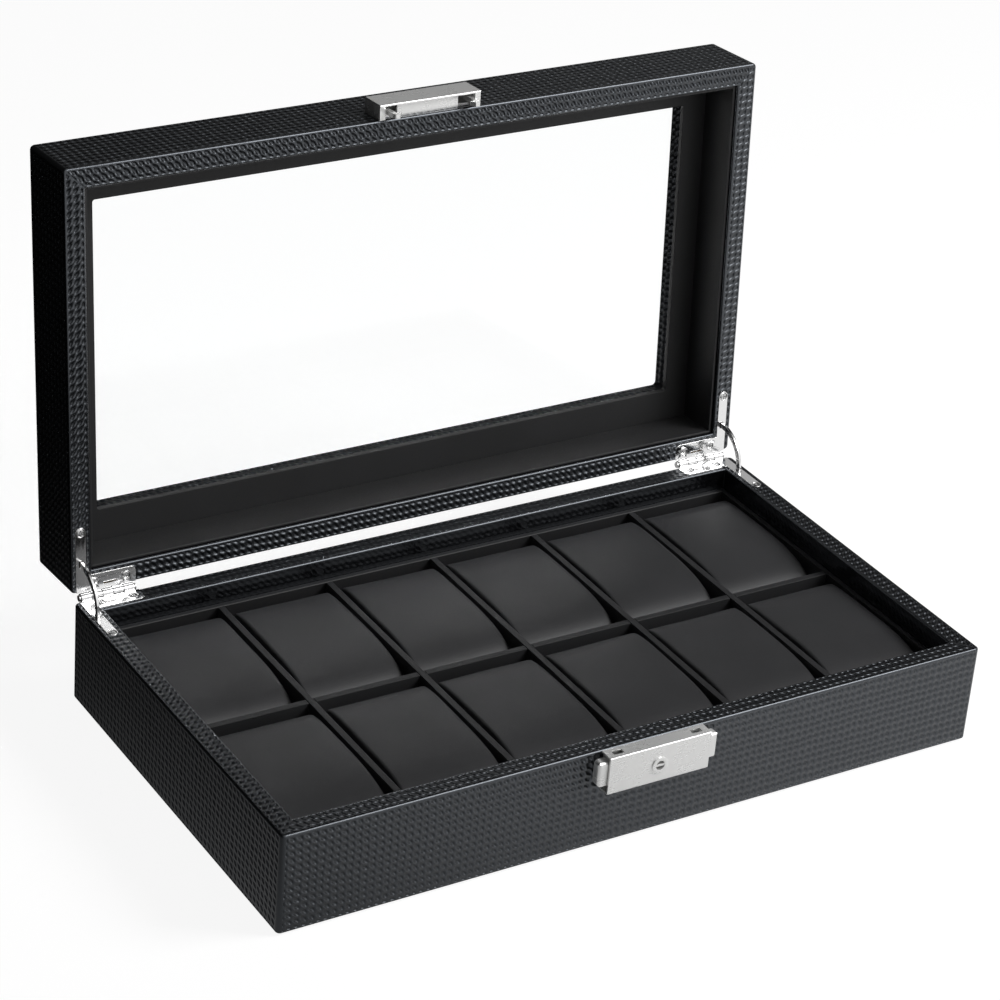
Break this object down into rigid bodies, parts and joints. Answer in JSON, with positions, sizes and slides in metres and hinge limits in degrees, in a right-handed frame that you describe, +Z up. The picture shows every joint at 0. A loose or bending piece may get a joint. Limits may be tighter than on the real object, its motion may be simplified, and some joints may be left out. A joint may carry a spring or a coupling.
{
  "type": "watch box",
  "caption": "Leatherette watch box with a glazed hinged lid on corner stay hinges, lift-out suede pillows in a divided tray, and a push-button key lock.",
  "frame": {"origin": "middle of the resting face, on the underside of the felt", "axes": "+X along the width towards the right-hand end, +Y from the front with the lock to the back with the hinges, +Z up; the lid stands open"},
  "size_m": [0.335, 0.2441, 0.2434],
  "materials": {
    "board": "raw fibreboard",
    "leatherette": "embossed with a fine diagonal basket weave, semi-gloss",
    "felt": "black felt",
    "tray_suede": "charcoal suede-effect fabric",
    "pillow_suede": "charcoal suede-effect fabric over soft padding",
    "lid_lining": "smooth matt black lining",
    "clear_glass": "clear",
    "hinge_chrome": "bright plated",
    "bright_steel": "bright",
    "satin_nickel": "satin nickel plate"
  },
  "bodies": {
    "base": {"base_front_wall": "board", "base_back_wall": "board", "base_left_wall": "board", "base_right_wall": "board", "base_floor": "board", "base_cover": "leatherette", "base_felt": "felt", "tray_liner": "tray_suede", "divider_long": "tray_suede", "divider_cross_1": "tray_suede", "divider_cross_2": "tray_suede", "divider_cross_3": "tray_suede", "divider_cross_4": "tray_suede", "divider_cross_5": "tray_suede", "base_leaf_left": "hinge_chrome", "base_leaf_right": "hinge_chrome", "hinge_pin_left": "bright_steel", "hinge_pin_right": "bright_steel", "base_hinge_screws": "bright_steel", "lock_case": "satin_nickel", "lock_back_plate": "satin_nickel", "button_spring": "bright_steel", "lock_screws": "bright_steel"},
    "lid": {"lid_leaf_left": "hinge_chrome", "lid_leaf_right": "hinge_chrome", "lid_hinge_screws": "bright_steel", "lid_front_wall": "board", "lid_back_wall": "board", "lid_left_wall": "board", "lid_right_wall": "board", "lid_frame": "board", "lid_glass": "clear_glass", "lid_retainer": "lid_lining", "lid_cover": "leatherette", "lid_liner": "lid_lining", "catch_cover": "satin_nickel", "catch_hooks": "satin_nickel", "catch_screws": "bright_steel"},
    "stay_left": {"stay_left": "hinge_chrome"},
    "stay_right": {"stay_right": "hinge_chrome"},
    "button_left": {"button_left": "satin_nickel"},
    "button_right": {"button_right": "satin_nickel"},
    "lock_plug": {"lock_plug": "satin_nickel", "lock_cam": "bright_steel"},
    "pillow_front_1": {"pillow_front_1": "pillow_suede"},
    "pillow_front_2": {"pillow_front_2": "pillow_suede"},
    "pillow_front_3": {"pillow_front_3": "pillow_suede"},
    "pillow_front_4": {"pillow_front_4": "pillow_suede"},
    "pillow_front_5": {"pillow_front_5": "pillow_suede"},
    "pillow_front_6": {"pillow_front_6": "pillow_suede"},
    "pillow_back_1": {"pillow_back_1": "pillow_suede"},
    "pillow_back_2": {"pillow_back_2": "pillow_suede"},
    "pillow_back_3": {"pillow_back_3": "pillow_suede"},
    "pillow_back_4": {"pillow_back_4": "pillow_suede"},
    "pillow_back_5": {"pillow_back_5": "pillow_suede"},
    "pillow_back_6": {"pillow_back_6": "pillow_suede"}
  },
  "joints": [
    {"name": "lid_hinge", "type": "hinge", "parent": "base", "child": "lid", "pos_m": [0, 0.0964, 0.0467], "axis": [-1, 0, 0], "range_deg": [-94, 0]},
    {"name": "stay_left_swing", "type": "hinge", "parent": "base", "child": "stay_left", "pos_m": [0, 0.0964, 0.0467], "axis": [-1, 0, 0], "range_deg": [-47, 0]},
    {"name": "stay_right_swing", "type": "hinge", "parent": "base", "child": "stay_right", "pos_m": [0, 0.0964, 0.0467], "axis": [-1, 0, 0], "range_deg": [-47, 0]},
    {"name": "button_left_slide", "type": "slide", "parent": "base", "child": "button_left", "axis": [1, 0, 0], "range_m": [0, 0.0028], "stiffness_N_per_m": 150, "springref_m": -0.004, "deforming": ["button_spring"]},
    {"name": "button_right_slide", "type": "slide", "parent": "base", "child": "button_right", "axis": [-1, 0, 0], "range_m": [0, 0.0028], "stiffness_N_per_m": 150, "springref_m": -0.004},
    {"name": "key_turn", "type": "hinge", "parent": "base", "child": "lock_plug", "pos_m": [0, -0.1008, 0.0371], "axis": [0, 1, 0], "range_deg": [-90, 0]},
    {"name": "pillow_front_1_lift", "type": "slide", "parent": "base", "child": "pillow_front_1", "axis": [0, 0, 1], "range_m": [0, 0.05]},
    {"name": "pillow_front_2_lift", "type": "slide", "parent": "base", "child": "pillow_front_2", "axis": [0, 0, 1], "range_m": [0, 0.05]},
    {"name": "pillow_front_3_lift", "type": "slide", "parent": "base", "child": "pillow_front_3", "axis": [0, 0, 1], "range_m": [0, 0.05]},
    {"name": "pillow_front_4_lift", "type": "slide", "parent": "base", "child": "pillow_front_4", "axis": [0, 0, 1], "range_m": [0, 0.05]},
    {"name": "pillow_front_5_lift", "type": "slide", "parent": "base", "child": "pillow_front_5", "axis": [0, 0, 1], "range_m": [0, 0.05]},
    {"name": "pillow_front_6_lift", "type": "slide", "parent": "base", "child": "pillow_front_6", "axis": [0, 0, 1], "range_m": [0, 0.05]},
    {"name": "pillow_back_1_lift", "type": "slide", "parent": "base", "child": "pillow_back_1", "axis": [0, 0, 1], "range_m": [0, 0.05]},
    {"name": "pillow_back_2_lift", "type": "slide", "parent": "base", "child": "pillow_back_2", "axis": [0, 0, 1], "range_m": [0, 0.05]},
    {"name": "pillow_back_3_lift", "type": "slide", "parent": "base", "child": "pillow_back_3", "axis": [0, 0, 1], "range_m": [0, 0.05]},
    {"name": "pillow_back_4_lift", "type": "slide", "parent": "base", "child": "pillow_back_4", "axis": [0, 0, 1], "range_m": [0, 0.05]},
    {"name": "pillow_back_5_lift", "type": "slide", "parent": "base", "child": "pillow_back_5", "axis": [0, 0, 1], "range_m": [0, 0.05]},
    {"name": "pillow_back_6_lift", "type": "slide", "parent": "base", "child": "pillow_back_6", "axis": [0, 0, 1], "range_m": [0, 0.05]}
  ],
  "couplings": [
    {"joint": "stay_left_swing", "follows": "lid_hinge", "ratio": 0.5},
    {"joint": "stay_right_swing", "follows": "lid_hinge", "ratio": 0.5}
  ]
}
